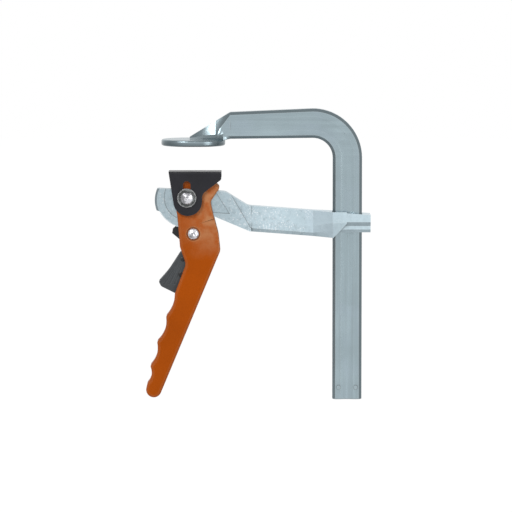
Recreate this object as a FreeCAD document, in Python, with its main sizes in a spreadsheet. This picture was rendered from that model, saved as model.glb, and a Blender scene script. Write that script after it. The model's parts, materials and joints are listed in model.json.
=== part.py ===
# Quick release bar clamp: a forged rail with a fixed jaw, a sliding arm, and a cam lever
# that pushes a U-shaped shoe towards the fixed jaw and is held by a ratchet pawl.
# Millimetres and degrees. +X runs from the jaws to the rail, +Z up, -Y is the front.
# The origin is the centre of the fixed jaw's pressing face.
import FreeCAD, Part
import math
import os

import Sketcher

doc = FreeCAD.newDocument("quick_release_bar_clamp")

# Driving sizes
SIZES = [
    # rail and fixed jaw
    ("rail_width", 25.0, "bar section, across the wide face"),
    ("rail_thickness", 12.0, "bar section, front to back"),
    ("rail_bevel", 2.4, "bevel of the bar's four long edges, on the wide face"),
    ("rail_bevel_depth", 2.2, "the same bevel, on the narrow face"),
    ("rail_groove_width", 11.0, "shallow groove along both wide faces"),
    ("rail_groove_depth", 0.7, "depth of that groove"),
    ("throat_depth", 119.1, "jaw centre to the rail's inner edge"),
    ("bar_rise", 6.6, "pressing face to the underside of the fixed arm at the bend"),
    ("bend_radius", 17.1, "inside radius of the bend"),
    ("rail_drop", 218.0, "pressing face to the rail's lower end"),
    ("rail_end_bevel", 0.5, "bevel round the rail's lower end"),
    ("neck_start", 31.5, "jaw centre to where the bar is drawn down to the jaw"),
    ("neck_height", 22.7, "bar height at that place"),
    ("neck_rise", 5.8, "underside of the bar above the pressing face there"),
    ("neck_groove_depth", 0.3, "the faded groove at the neck"),
    ("crest_fall", 31.4, "slope of the neck's crest"),
    ("jaw_length", 54.5, "fixed jaw plate along the arm"),
    ("jaw_depth", 48.0, "fixed jaw plate, front to back"),
    ("jaw_thickness", 5.4, "fixed jaw plate"),
    ("jaw_edge_round", 1.6, "rounded edge of the plate"),
    ("stake_rise", 10.5, "rail's end to the middle of the staked bumps"),
    ("stake_size", 3.0, "diameter of a staked bump"),
    ("stake_height", 0.6, "how far a bump stands out"),
    ("stake_spread", 14.6, "distance between the two bumps of one face"),
    # pivot of the lever in the sliding arm's head
    ("pivot_setback", 5.4, "lever pivot beyond the jaw centre, away from the rail"),
    ("pivot_drop", 44.2, "lever pivot below the pressing face"),
    ("pin_diameter", 10.0, "pivot pin in the arm and the lever"),
    ("journal_diameter", 6.3, "pivot pin's ends in the shoe and the washers"),
    ("pin_head_diameter", 10.4, "riveted heads of the pivot pin"),
    ("pin_head_height", 2.2, "riveted heads of the pivot pin"),
    ("head_dimple_radius", 1.5, "dimple left by the riveting tool"),
    ("head_dimple_depth", 0.7, "dimple left by the riveting tool"),
    ("washer_diameter", 16.2, "washers under the pin's heads"),
    ("washer_thickness", 1.6, "washers under the pin's heads"),
    ("washer_bevel", 0.5, "outer edge of the washers"),
    # sliding arm
    ("arm_head_thickness", 12.0, "round head of the arm, front to back"),
    ("sector_radius", 26.3, "tips of the ratchet teeth, from the pivot"),
    ("tooth_depth", 0.75, "ratchet teeth"),
    ("tooth_pitch", 3.0, "angle from tooth to tooth"),
    ("first_tooth", 209.0, "angle of the first tooth, from +X towards +Z"),
    ("tooth_count", 26.0, "ratchet teeth"),
    ("hook_rise", 2.0, "hook that stops the pawl, beyond the teeth"),
    ("hook_angle", 203.6, "angle of the hook"),
    ("head_rise", 7.6, "flat top of the head above the pivot"),
    ("head_setback", 0.9, "left end of the head, short of the tooth tips' circle"),
    ("head_side_bevel", 1.8, "bevel of the head's left side"),
    ("head_side_radius", 25.0, "curve of the head's left side"),
    ("recess_radius", 19.8, "round recess where the cheeks run"),
    ("recess_depth", 0.6, "depth of that recess"),
    ("web_start", 54.0, "pivot to where the arm's plain bar begins"),
    ("web_top", -7.1, "top of the bar at its start, from the pivot"),
    ("web_height", 22.2, "height of the bar"),
    ("web_slope", 4.25, "fall of the bar towards the rail"),
    ("web_crown", 5.5, "half thickness of the bar at its parting line"),
    ("web_shoulder", 4.7, "half thickness above and below the parting line"),
    ("web_foot", 3.2, "half thickness at the bottom edge"),
    ("web_step", 0.6, "step from the head's face down to the bar"),
    ("parting_drop", 13.2, "parting line below the bar's top"),
    ("foot_bevel", 3.0, "height of the bevel along the bottom edge"),
    ("flare_length", 16.7, "length over which the bar widens to the fork"),
    ("fork_half", 11.5, "half width of the fork"),
    ("fork_foot", 8.2, "half width of the fork's lower edge"),
    ("fork_bevel_top", 9.2, "fork top to the start of its big bevel"),
    ("fork_inset", 9.4, "half width of the fork's lower band"),
    ("fork_bevel_height", 3.4, "height of the bevel above the lower band"),
    ("fork_band_height", 3.0, "height of the lower band"),
    ("tail_height", 15.0, "height of the fork behind the rail"),
    ("tail_wall", 7.3, "wall of the fork behind the rail"),
    ("fork_gap", 0.3, "gap between fork and rail"),
    ("fork_undercut", 12.0, "length of the slanted undercut below the fork"),
    # lever
    ("running_gap", 0.3, "gap between parts that slide past each other"),
    ("bore_gap", 0.05, "radial clearance of pins that turn"),
    ("cheek_thickness", 3.5, "each cheek of the lever"),
    ("cam_offset", 9.4, "centre of the cam circle from the pivot, towards the rail"),
    ("cam_radius", 19.5, "cam circle on top of the cheeks"),
    ("horn_length", 7.2, "horn beyond the cam circle"),
    ("elbow_reach", 28.4, "elbow of the lever from the pivot"),
    ("elbow_drop", 45.8, "elbow of the lever below the pivot"),
    ("grip_end_x", -28.7, "centre of the grip's round end, from the pivot"),
    ("grip_end_z", -165.3, "centre of the grip's round end, from the pivot"),
    ("grip_end_radius", 6.6, "round end of the grip"),
    ("lever_edge_round", 2.2, "rounded edges of the lever"),
    ("groove_end_round", 5.0, "corners below and above the finger grooves"),
    ("cheek_bevel_depth", 1.6, "bevel of the cheeks' rail side"),
    # pawl and trigger
    ("pawl_offset_x", 5.4, "pawl rivet from the pivot, towards the rail"),
    ("pawl_rivet_shank", 5.0, "pawl rivet"),
    ("pawl_rivet_head", 9.6, "domed heads of the pawl rivet"),
    ("pawl_rivet_dome", 2.4, "domed heads of the pawl rivet"),
    ("rivet_seat_diameter", 11.8, "round seat in the cheek for that head"),
    ("rivet_seat_depth", 0.7, "round seat in the cheek for that head"),
    ("pawl_thickness", 6.0, "pawl plate"),
    ("pawl_hub_radius", 4.7, "pawl round its rivet"),
    ("pawl_home", 3.0, "angle from riding on the teeth to home in a notch"),
    ("pawl_tip_gap", 0.1, "clearance of the pawl in its notch"),
    ("trigger_width", 11.2, "trigger moulding, front to back"),
    ("trigger_edge_round", 0.8, "rounded edges of the trigger's sides"),
    ("trigger_rib_depth", 0.4, "grooves between the fan ribs of the trigger's sides"),
    ("rivet_diameter", 2.6, "rivets of the trigger"),
    ("rivet_head_diameter", 4.2, "rivets of the trigger"),
    ("rivet_head_height", 0.6, "rivets of the trigger"),
    ("spacer_diameter", 6.8, "spacer sleeves beside the pawl"),
    ("wire_diameter", 0.7, "wire of the pawl spring"),
    ("spring_radius", 3.9, "mean radius of the pawl spring"),
    # shoe
    ("shoe_depth", 25.2, "shoe, front to back"),
    ("shoe_wall", 2.5, "sheet of the shoe"),
    ("shoe_left", 15.6, "shoe's top, from the pivot away from the rail"),
    ("shoe_right", 29.4, "shoe's top, from the pivot towards the rail"),
    ("shoe_cam_gap", 0.15, "clearance between the cam and the shoe"),
    ("shoe_bend_round", 1.6, "outside of the shoe's bends"),
    ("boss_radius", 12.2, "rounded lower end of the shoe's walls"),
    ("boss_drop", 3.1, "its centre below the pivot"),
    ("slot_gap", 0.1, "clearance of the pin in the shoe's slots, each side"),
    ("slot_rise", 11.1, "upper end of the slots above the pivot"),
    ("slot_drop", 4.2, "lower end of the slots below the pivot"),
]

sheet = doc.addObject("Spreadsheet::Sheet", "sizes")
for row, (alias, value, note) in enumerate(SIZES, start=1):
    sheet.set("A%d" % row, note)
    sheet.set("B%d" % row, "%g" % value)
    sheet.setAlias("B%d" % row, alias)
doc.recompute()


class Size:
    """A number together with the formula that binds it to the sheet."""

    def __init__(self, value, formula=None):
        self.value = float(value)
        self.formula = formula or "(%r)" % float(value)

    def __add__(self, other):
        other = as_size(other)
        return Size(self.value + other.value, "(%s + %s)" % (self.formula, other.formula))

    def __sub__(self, other):
        other = as_size(other)
        return Size(self.value - other.value, "(%s - %s)" % (self.formula, other.formula))

    def __mul__(self, other):
        other = as_size(other)
        return Size(self.value * other.value, "(%s * %s)" % (self.formula, other.formula))

    def __truediv__(self, other):
        other = as_size(other)
        return Size(self.value / other.value, "(%s / %s)" % (self.formula, other.formula))

    def __neg__(self):
        return Size(-self.value, "(0 - %s)" % self.formula)

    def __radd__(self, other):
        return as_size(other) + self

    def __rsub__(self, other):
        return as_size(other) - self

    def __rmul__(self, other):
        return as_size(other) * self


def as_size(number):
    return number if isinstance(number, Size) else Size(number)


def cosine(angle):
    angle = as_size(angle)
    return Size(math.cos(math.radians(angle.value)), "cos(%s)" % angle.formula)


def sine(angle):
    angle = as_size(angle)
    return Size(math.sin(math.radians(angle.value)), "sin(%s)" % angle.formula)


def direction(x, y):
    """Angle of the way to (x, y), in degrees."""
    x, y = as_size(x), as_size(y)
    formula = "(atan2(%s; %s) / 1 deg)" % (y.formula, x.formula)
    return Size(math.degrees(math.atan2(y.value, x.value)), formula)


def arc_cosine(ratio):
    return Size(math.degrees(math.acos(ratio.value)), "(acos(%s) / 1 deg)" % ratio.formula)


def length(x, y):
    square = x * x + y * y
    return Size(math.sqrt(square.value), "sqrt(%s)" % square.formula)


def polar(radius, angle):
    return as_size(radius) * cosine(angle), as_size(radius) * sine(angle)


class Sheet:
    """The driving sizes by name."""

    def __getattr__(self, alias):
        return Size(float(sheet.get(alias)), "sizes.%s" % alias)


s = Sheet()


# Helpers for bodies and sketches
def bind(item, path, size):
    item.setExpression(path, as_size(size).formula)


def new_body(name, x=0, y=0, z=0):
    """A body whose own origin sits at (x, y, z) of the clamp."""
    body = doc.addObject("PartDesign::Body", name)
    body.Label = name
    for axis, place in (("x", x), ("y", y), ("z", z)):
        if isinstance(place, Size) or place:
            bind(body, "Placement.Base.%s" % axis, place)
    return body


def new_sketch(body, name, role="XZ_Plane", offset=0, shift=(0, 0)):
    """A sketch on one of the body's own origin planes, moved along its normal by offset."""
    sketch = body.newObject("Sketcher::SketchObject", name)
    plane = [item for item in body.Origin.OriginFeatures if item.Role == role][0]
    sketch.AttachmentSupport = (plane, "")
    sketch.MapMode = "FlatFace"
    for axis, place in (("x", shift[0]), ("y", shift[1]), ("z", offset)):
        if isinstance(place, Size) or place:
            bind(sketch, "AttachmentOffset.Base.%s" % axis, place)
    return sketch


def place_point(sketch, geometry, point, x, y):
    """Tie a point of the sketch to its distances from the sketch's origin."""
    for kind, size in (("DistanceX", as_size(x)), ("DistanceY", as_size(y))):
        index = sketch.addConstraint(Sketcher.Constraint(kind, -1, 1, geometry, point, size.value))
        bind(sketch, "Constraints[%d]" % index, size)


def set_radius(sketch, geometry, radius):
    radius = as_size(radius)
    index = sketch.addConstraint(Sketcher.Constraint("Radius", geometry, radius.value))
    bind(sketch, "Constraints[%d]" % index, radius)


def arc_between(start, end, radius):
    """Arc from start to end. A positive radius keeps the centre on the left of the way."""
    middle = (start + end) * 0.5
    way = end - start
    left = FreeCAD.Vector(-way.y, way.x, 0).normalize()
    rise = math.sqrt(max(radius * radius - way.Length * way.Length / 4, 0))
    centre = middle + left * rise * (1 if radius > 0 else -1)
    first = math.atan2(start.y - centre.y, start.x - centre.x)
    last = math.atan2(end.y - centre.y, end.x - centre.x)
    circle = Part.Circle(centre, FreeCAD.Vector(0, 0, 1), abs(radius))
    if radius > 0:
        return Part.ArcOfCircle(circle, first, last), False
    return Part.ArcOfCircle(circle, last, first), True


def draw_outline(sketch, corners):
    """Closed outline through corners (x, y), (x, y, {"round": r}) or (x, y, {"arc": r}).

    round rounds the corner; arc makes the side that leaves the corner an arc.
    """
    points = [FreeCAD.Vector(as_size(c[0]).value, as_size(c[1]).value, 0) for c in corners]
    options = [c[2] if len(c) > 2 else {} for c in corners]
    sides = []
    starts = []
    ends = []
    for index, point in enumerate(points):
        following = points[(index + 1) % len(points)]
        arc = options[index].get("arc")
        turned = False
        if arc is None:
            side = Part.LineSegment(point, following)
        else:
            side, turned = arc_between(point, following, as_size(arc).value)
        sides.append(sketch.addGeometry(side, False))
        starts.append(2 if turned else 1)
        ends.append(1 if turned else 2)
    for index, side in enumerate(sides):
        after = (index + 1) % len(sides)
        sketch.addConstraint(
            Sketcher.Constraint("Coincident", side, ends[index], sides[after], starts[after])
        )
        place_point(sketch, side, starts[index], corners[index][0], corners[index][1])
        arc = options[index].get("arc")
        if arc is not None:
            arc = as_size(arc)
            set_radius(sketch, side, arc if arc.value > 0 else -arc)
    for index, option in enumerate(options):
        if "round" in option:
            round_corner(sketch, sides[index - 1], sides[index], points, index, option["round"])


def round_corner(sketch, before, after, points, index, radius):
    """Round one corner between two sides and bind the radius."""
    corner = points[index]
    back = (points[index - 1] - corner).normalize()
    ahead = (points[(index + 1) % len(points)] - corner).normalize()
    reach = 0.5 * as_size(radius).value
    count = sketch.GeometryCount
    sketch.fillet(before, after, corner + back * reach, corner + ahead * reach,
                  as_size(radius).value, True, True)
    for geometry in range(count, sketch.GeometryCount):
        if isinstance(sketch.Geometry[geometry], Part.ArcOfCircle):
            set_radius(sketch, geometry, radius)


def draw_circle(sketch, x, y, radius):
    centre = FreeCAD.Vector(as_size(x).value, as_size(y).value, 0)
    circle = Part.Circle(centre, FreeCAD.Vector(0, 0, 1), as_size(radius).value)
    geometry = sketch.addGeometry(circle, False)
    place_point(sketch, geometry, 3, x, y)
    set_radius(sketch, geometry, radius)


def draw_slot(sketch, x, low, high, radius):
    """Upright slot whose end circles have their centres at low and high."""
    draw_outline(sketch, [
        (x + radius, low),
        (x + radius, high, {"arc": radius}),
        (x, high + radius, {"arc": radius}),
        (x - radius, high),
        (x - radius, low, {"arc": radius}),
        (x, low - radius, {"arc": radius}),
    ])


def mirrored(points):
    """A profile given by its right half, from top to bottom, closed with its mirror image."""
    return points + [(-as_size(x), z) for x, z in reversed(points)]


def pad(body, sketch, name, length, symmetric=True, reverse=False):
    feature = body.newObject("PartDesign::Pad", name)
    feature.Profile = sketch
    feature.SideType = "Symmetric" if symmetric else "One side"
    feature.Reversed = reverse
    bind(feature, "Length", length)
    doc.recompute()
    return feature


def pocket(body, sketch, name, length=None, symmetric=True, reverse=False):
    """Cut a sketch out of the body, through everything where no length is given."""
    before = body.Shape.Volume
    feature = body.newObject("PartDesign::Pocket", name)
    feature.Profile = sketch
    feature.SideType = "Symmetric" if symmetric else "One side"
    feature.Reversed = reverse
    if length is None:
        feature.Type = "ThroughAll"
    else:
        bind(feature, "Length", length)
    doc.recompute()
    if not body.Shape.Volume < before:
        raise RuntimeError("%s cuts nothing" % name)
    return feature


def loft(body, name, sections, ruled=True):
    feature = body.newObject("PartDesign::AdditiveLoft", name)
    feature.Profile = sections[0]
    feature.Sections = sections[1:]
    feature.Ruled = ruled
    doc.recompute()
    return feature


def revolve(body, sketch, name, axis="V_Axis"):
    feature = body.newObject("PartDesign::Revolution", name)
    feature.Profile = sketch
    feature.ReferenceAxis = (sketch, [axis])
    feature.Angle = 360
    doc.recompute()
    return feature


def edges_where(body, wanted):
    """Names of the body's edges for which wanted(edge) holds."""
    shape = body.Tip.Shape
    return ["Edge%d" % (i + 1) for i, edge in enumerate(shape.Edges) if wanted(edge)]


def dress(body, kind, name, edges, size):
    """A fillet or chamfer on the named edges of the body's tip."""
    base = body.Tip
    feature = body.newObject("PartDesign::%s" % kind, name)
    feature.Base = (base, edges)
    bind(feature, "Radius" if kind == "Fillet" else "Size", size)
    doc.recompute()
    return feature


# Places that several parts share
rail_inner = s.throat_depth
rail_outer = s.throat_depth + s.rail_width
rail_middle = s.throat_depth + s.rail_width / 2
rail_half = s.rail_thickness / 2
bend_x = s.throat_depth - s.bend_radius
bend_z = s.bar_rise - s.bend_radius
pivot_x = -s.pivot_setback
pivot_z = -s.pivot_drop
pawl_x = pivot_x + s.pawl_offset_x
pawl_offset_z = -(s.sector_radius + s.pawl_hub_radius)
pawl_z = pivot_z + pawl_offset_z
head_half = s.arm_head_thickness / 2
cheek_inner = head_half + s.running_gap
cheek_outer = cheek_inner + s.cheek_thickness
shoe_half = s.shoe_depth / 2
shoe_inner = shoe_half - s.shoe_wall
washer_inner = shoe_half + s.running_gap
washer_outer = washer_inner + s.washer_thickness
shoe_underside = s.cam_radius + s.shoe_cam_gap
shoe_top = shoe_underside + s.shoe_wall
# The outline that cuts a notch reaches this far beyond the teeth
notch_mouth = 0.6


# Rail
def rail_section(width, depth, groove_depth, across, middle):
    """The bar's section with bevelled edges and a shallow groove in each wide face.

    across tells which way the wide face runs: along the sketch's x or its y.
    """
    half = width / 2
    flat = half - s.rail_bevel
    groove = s.rail_groove_width / 2
    radius = (groove * groove + groove_depth * groove_depth) / (2 * groove_depth)
    corners = [
        (half, -(depth - s.rail_bevel_depth)),
        (half, depth - s.rail_bevel_depth),
        (flat, depth),
        (groove, depth, {"arc": -radius}),
        (-groove, depth),
        (-flat, depth),
        (-half, depth - s.rail_bevel_depth),
        (-half, -(depth - s.rail_bevel_depth)),
        (-flat, -depth),
        (-groove, -depth, {"arc": -radius}),
        (groove, -depth),
        (flat, -depth),
    ]
    placed = []
    for corner in corners:
        along, out = as_size(corner[0]), as_size(corner[1])
        option = dict(corner[2]) if len(corner) > 2 else {}
        if across == "x":
            placed.append((middle + along, out, option))
        else:
            option = {key: -value for key, value in option.items()}
            placed.append((out, middle + along, option))
    return placed


def neck_section(body, name, place, corners):
    sketch = new_sketch(body, name, "YZ_Plane", offset=place)
    draw_outline(sketch, mirrored(corners))
    return sketch


def make_rail():
    body = new_body("rail")
    bar_middle = s.bar_rise + s.rail_width / 2
    neck_middle = s.neck_rise + s.neck_height / 2
    neck_top = s.neck_rise + s.neck_height
    fall = sine(s.crest_fall) / cosine(s.crest_fall)
    plate = s.jaw_thickness
    foot = plate - 0.8

    plan = new_sketch(body, "jaw_plan", "XY_Plane")
    end = s.jaw_depth / 2
    side = s.jaw_length / 2 - end
    draw_outline(plan, [
        (side, -end, {"arc": end}),
        (side + end, Size(0), {"arc": end}),
        (side, end),
        (-side, end, {"arc": end}),
        (-side - end, Size(0), {"arc": end}),
        (-side, -end),
    ])
    pad(body, plan, "jaw_plate", s.jaw_thickness, symmetric=False)
    dress(body, "Fillet", "jaw_edges", edges_where(body, lambda e: e.BoundBox.ZLength < 0.01),
          s.jaw_edge_round)

    # The neck: a rib whose crest falls to the middle of the plate and whose foot spreads over it.
    def crest(place):
        return neck_top - (s.neck_start - place) * fall

    stations = [s.neck_start, Size(25.5), Size(18.9), Size(8.0), Size(-3.0)]
    halves = [
        [(rail_half - s.rail_bevel_depth, neck_top), (rail_half, neck_top - s.rail_bevel),
         (rail_half, s.neck_rise + s.rail_bevel), (rail_half - s.rail_bevel_depth, s.neck_rise)],
        [(Size(2.5), crest(stations[1])), (rail_half, crest(stations[1]) - 6.6),
         (rail_half, plate + 5.0), (rail_half + 1.6, foot)],
        [(Size(1.3), crest(stations[2])), (rail_half - 0.4, plate + 4.2),
         (rail_half + 3.0, plate + 1.7), (rail_half + 11.0, foot)],
        [(Size(0.9), crest(stations[3])), (rail_half - 1.6, plate + 3.3),
         (rail_half + 2.0, plate + 1.2), (rail_half + 9.0, foot)],
        [(Size(0.6), crest(stations[4])), (rail_half - 3.6, plate + 1.0),
         (rail_half - 1.0, plate + 0.4), (rail_half + 2.0, foot)],
    ]
    names = ["neck_a", "neck_b", "neck_c", "neck_d", "neck_e"]
    loft(body, "neck", [neck_section(body, n, p, h) for n, p, h in zip(names, stations, halves)])

    neck_end = new_sketch(body, "neck_section", "YZ_Plane", offset=s.neck_start)
    draw_outline(
        neck_end,
        rail_section(s.neck_height, rail_half, s.neck_groove_depth, "y", neck_middle),
    )
    bend_end = new_sketch(body, "arm_section", "YZ_Plane", offset=bend_x)
    draw_outline(
        bend_end,
        rail_section(s.rail_width, rail_half, s.rail_groove_depth, "y", bar_middle),
    )
    loft(body, "fixed_arm", [neck_end, bend_end])

    section = new_sketch(body, "bar_section", "XY_Plane", offset=-s.rail_drop)
    draw_outline(section, rail_section(s.rail_width, rail_half, s.rail_groove_depth, "x", rail_middle))
    path = new_sketch(body, "bar_path")
    line = Part.LineSegment(
        FreeCAD.Vector(rail_middle.value, -s.rail_drop.value, 0),
        FreeCAD.Vector(rail_middle.value, bend_z.value, 0),
    )
    bend = Part.ArcOfCircle(
        Part.Circle(
            FreeCAD.Vector(bend_x.value, bend_z.value, 0),
            FreeCAD.Vector(0, 0, 1),
            s.bend_radius.value + s.rail_width.value / 2,
        ),
        0,
        math.pi / 2,
    )
    line = path.addGeometry(line, False)
    bend = path.addGeometry(bend, False)
    path.addConstraint(Sketcher.Constraint("Coincident", line, 2, bend, 1))
    place_point(path, line, 1, rail_middle, -s.rail_drop)
    place_point(path, line, 2, rail_middle, bend_z)
    place_point(path, bend, 3, bend_x, bend_z)
    index = path.addConstraint(Sketcher.Constraint("DistanceX", -1, 1, bend, 2, bend_x.value))
    bind(path, "Constraints[%d]" % index, bend_x)
    pipe = body.newObject("PartDesign::AdditivePipe", "bent_bar")
    pipe.Profile = section
    pipe.Spine = path
    doc.recompute()

    for side_name, reverse in (("front", False), ("back", True)):
        stakes = new_sketch(
            body, "stakes_%s" % side_name, offset=(rail_half - 1) * (-1 if reverse else 1)
        )
        for sign in (-1, 1):
            draw_circle(
                stakes,
                rail_middle + sign * s.stake_spread / 2,
                -s.rail_drop + s.stake_rise,
                s.stake_size / 2,
            )
        pad(body, stakes, "stakes_%s_pad" % side_name, s.stake_height + 1, False, reverse)
    low = -s.rail_drop.value
    dress(
        body, "Chamfer", "rail_end",
        edges_where(body, lambda e: abs(e.BoundBox.ZMin - low) < 0.01 and e.BoundBox.ZLength < 0.01),
        s.rail_end_bevel,
    )
    return body


# Sliding arm
def web_line(start, drop):
    """Height of a line that runs along the sloping bar, at a distance from the pivot."""
    fall = sine(s.web_slope) / cosine(s.web_slope)
    return lambda place: start - drop - (place - s.web_start) * fall


def arm_section(body, name, place, top, crown, lower, bottom):
    """Section of the bar: (half width, height) at top, parting line, lower edge and bottom."""
    sketch = new_sketch(body, name, "YZ_Plane", offset=place)
    draw_outline(sketch, mirrored([top, crown, lower, bottom]))
    return sketch


def make_sliding_arm():
    body = new_body("sliding_arm", pivot_x, 0, pivot_z)
    head_reach = s.sector_radius - s.head_setback
    rail_near = rail_inner - pivot_x
    rail_far = rail_outer - pivot_x
    flare_start = rail_near - s.flare_length
    tail_end = rail_far + s.tail_wall
    top = web_line(s.web_top, Size(0))
    parting = web_line(s.web_top, s.parting_drop)
    lower = web_line(s.web_top, s.web_height - s.foot_bevel)
    bottom = web_line(s.web_top, s.web_height)

    head = new_sketch(body, "head_outline")
    hook = polar(s.sector_radius + s.hook_rise, s.hook_angle)
    hook_foot = polar(s.sector_radius, s.hook_angle + 3)
    deep = polar(s.sector_radius, Size(270))
    merge = polar(s.sector_radius, Size(324))
    shoulder = s.web_start + 0.8
    draw_outline(head, [
        (-head_reach, s.head_rise, {"arc": s.head_side_radius}),
        (hook[0], hook[1]),
        (hook_foot[0], hook_foot[1], {"arc": s.sector_radius}),
        (deep[0], deep[1], {"arc": s.sector_radius}),
        (merge[0], merge[1]),
        (s.web_start, bottom(s.web_start)),
        (shoulder, bottom(shoulder)),
        (shoulder, top(shoulder)),
        (s.web_start - 2, top(s.web_start - 2), {"round": 9}),
        (s.web_start - 21.4, s.head_rise - 2.5, {"round": 9}),
    ])
    pad(body, head, "head", s.arm_head_thickness)

    def is_left_side(edge):
        """Front and back edges of the head's left side."""
        box = edge.BoundBox
        level = box.YLength < 0.01 and abs(abs(box.YMin) - head_half.value) < 0.01
        return level and box.XMax < -head_reach.value + 1.5 and box.ZLength > 5

    dress(body, "Chamfer", "head_side_bevel", edges_where(body, is_left_side), s.head_side_bevel)

    sections = [
        arm_section(
            body, "web_a", s.web_start,
            (s.web_shoulder, top(s.web_start)), (s.web_crown, parting(s.web_start)),
            (s.web_shoulder, lower(s.web_start)), (s.web_foot, bottom(s.web_start)),
        ),
        arm_section(
            body, "web_b", flare_start,
            (s.web_shoulder, top(flare_start)), (s.web_crown, parting(flare_start)),
            (s.web_shoulder, lower(flare_start)), (s.web_foot, bottom(flare_start)),
        ),
        arm_section(
            body, "web_c", rail_near,
            (s.fork_half - 0.3, top(rail_near)), (s.fork_half, top(rail_near) - s.fork_bevel_top),
            ((s.fork_half + s.fork_foot) / 2, (top(rail_near) - s.fork_bevel_top + bottom(rail_near)) / 2),
            (s.fork_foot, bottom(rail_near)),
        ),
    ]
    loft(body, "web", sections)

    fork = new_sketch(body, "fork_root", "YZ_Plane", offset=rail_near)
    draw_outline(fork, mirrored([
        (s.fork_half - 0.3, top(rail_near)),
        (s.fork_half, top(rail_near) - s.fork_bevel_top),
        (s.fork_foot, bottom(rail_near)),
    ]))
    pad(body, fork, "fork_front", s.fork_undercut, symmetric=False)
    undercut = new_sketch(body, "undercut_outline")
    low = bottom(rail_near) - 2
    draw_outline(undercut, [
        (rail_near + 0.6, bottom(rail_near)),
        (rail_near + s.fork_undercut + 0.6, top(rail_near) - s.fork_bevel_top),
        (rail_near + s.fork_undercut + 6, low),
        (rail_near + 0.6, low),
    ])
    pocket(body, undercut, "undercut", s.fork_half * 3)

    tail_top = top(tail_end)
    tail = new_sketch(body, "tail_section", "YZ_Plane", offset=tail_end)
    bevel_top = tail_top - (s.tail_height - s.fork_bevel_height - s.fork_band_height - 2.6)
    draw_outline(tail, mirrored([
        (s.fork_half - 0.3, tail_top),
        (s.fork_half, bevel_top),
        (s.fork_inset, bevel_top - s.fork_bevel_height),
        (s.fork_inset, bevel_top - s.fork_bevel_height - s.fork_band_height),
        (s.fork_inset - 1.4, tail_top - s.tail_height),
    ]))
    pad(body, tail, "tail", tail_end - rail_near - 2, symmetric=False, reverse=True)
    slope = new_sketch(body, "tail_top_outline")
    draw_outline(slope, [
        (rail_near + 1.4, top(rail_near + 1.4)),
        (tail_end, top(tail_end)),
        (tail_end, bevel_top + 1),
        (rail_near + 1.4, bevel_top + 1),
    ])
    pad(body, slope, "tail_top", (s.fork_half - 0.3) * 2)

    rail_hole = new_sketch(body, "rail_hole_outline", "XY_Plane")
    half = rail_half + s.fork_gap
    draw_outline(rail_hole, [
        (rail_near - s.fork_gap, -half),
        (rail_far + s.fork_gap, -half),
        (rail_far + s.fork_gap, half),
        (rail_near - s.fork_gap, half),
    ])
    pocket(body, rail_hole, "rail_hole")

    step_line = new_sketch(body, "step_front", offset=head_half)
    step_back = new_sketch(body, "step_back", offset=-head_half)
    for sketch, reverse in ((step_line, False), (step_back, True)):
        draw_outline(sketch, [
            (s.web_start - 17.9, Size(4.5)),
            (s.web_start + 0.2, bottom(s.web_start) + 3),
            (s.web_start + 4, bottom(s.web_start) + 3),
            (s.web_start + 4, Size(9)),
            (s.web_start - 17.9, Size(9)),
        ])
        pocket(body, sketch, sketch.Label + "_pocket", s.web_step, False, reverse)

    for sketch_name, offset, reverse in (("recess_front", head_half, False), ("recess_back", -head_half, True)):
        recess = new_sketch(body, sketch_name, offset=offset)
        left = polar(s.recess_radius, Size(150))
        below = polar(s.recess_radius, Size(235))
        right = polar(s.recess_radius, Size(320))
        draw_outline(recess, [
            (left[0], left[1], {"arc": s.recess_radius}),
            (below[0], below[1], {"arc": s.recess_radius}),
            (right[0], right[1]),
            (s.web_start - 17.2, Size(-14.2)),
            (s.web_start - 29.0, Size(4.6)),
            (s.web_start - 29.0, s.head_rise + 3),
            (left[0], s.head_rise + 3),
        ])
        pocket(body, recess, sketch_name + "_pocket", s.recess_depth, False, reverse)

    bore = new_sketch(body, "pivot_bore_outline")
    draw_circle(bore, 0, 0, s.pin_diameter / 2)
    pocket(body, bore, "pivot_bore", s.arm_head_thickness * 2)

    gap = new_sketch(body, "tooth_gap")
    root = s.sector_radius - s.tooth_depth
    beyond = s.sector_radius + notch_mouth
    gap_root = polar(root, s.first_tooth)
    gap_open = polar(beyond, s.first_tooth)
    gap_slope = polar(beyond, s.first_tooth + s.tooth_pitch)
    draw_outline(gap, [gap_root, gap_slope, gap_open])
    cut = pocket(body, gap, "first_gap", s.arm_head_thickness * 2)
    teeth = body.newObject("PartDesign::PolarPattern", "ratchet_teeth")
    teeth.Originals = [cut]
    teeth.Axis = (gap, ["N_Axis"])
    bind(teeth, "Angle", s.tooth_pitch * (s.tooth_count - 1))
    bind(teeth, "Occurrences", s.tooth_count)
    body.Tip = teeth
    doc.recompute()
    return body


# Lever
def eased_corner(x, z, way_in, way_out):
    """Start and end of the round at a corner, given the ways into and out of it."""
    half = (way_in - way_out) / 2
    trim = s.groove_end_round * sine(half) / cosine(half)
    start = (x - trim * cosine(way_in), z - trim * sine(way_in))
    end = (x + trim * cosine(way_out), z + trim * sine(way_out))
    return start, end


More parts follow.
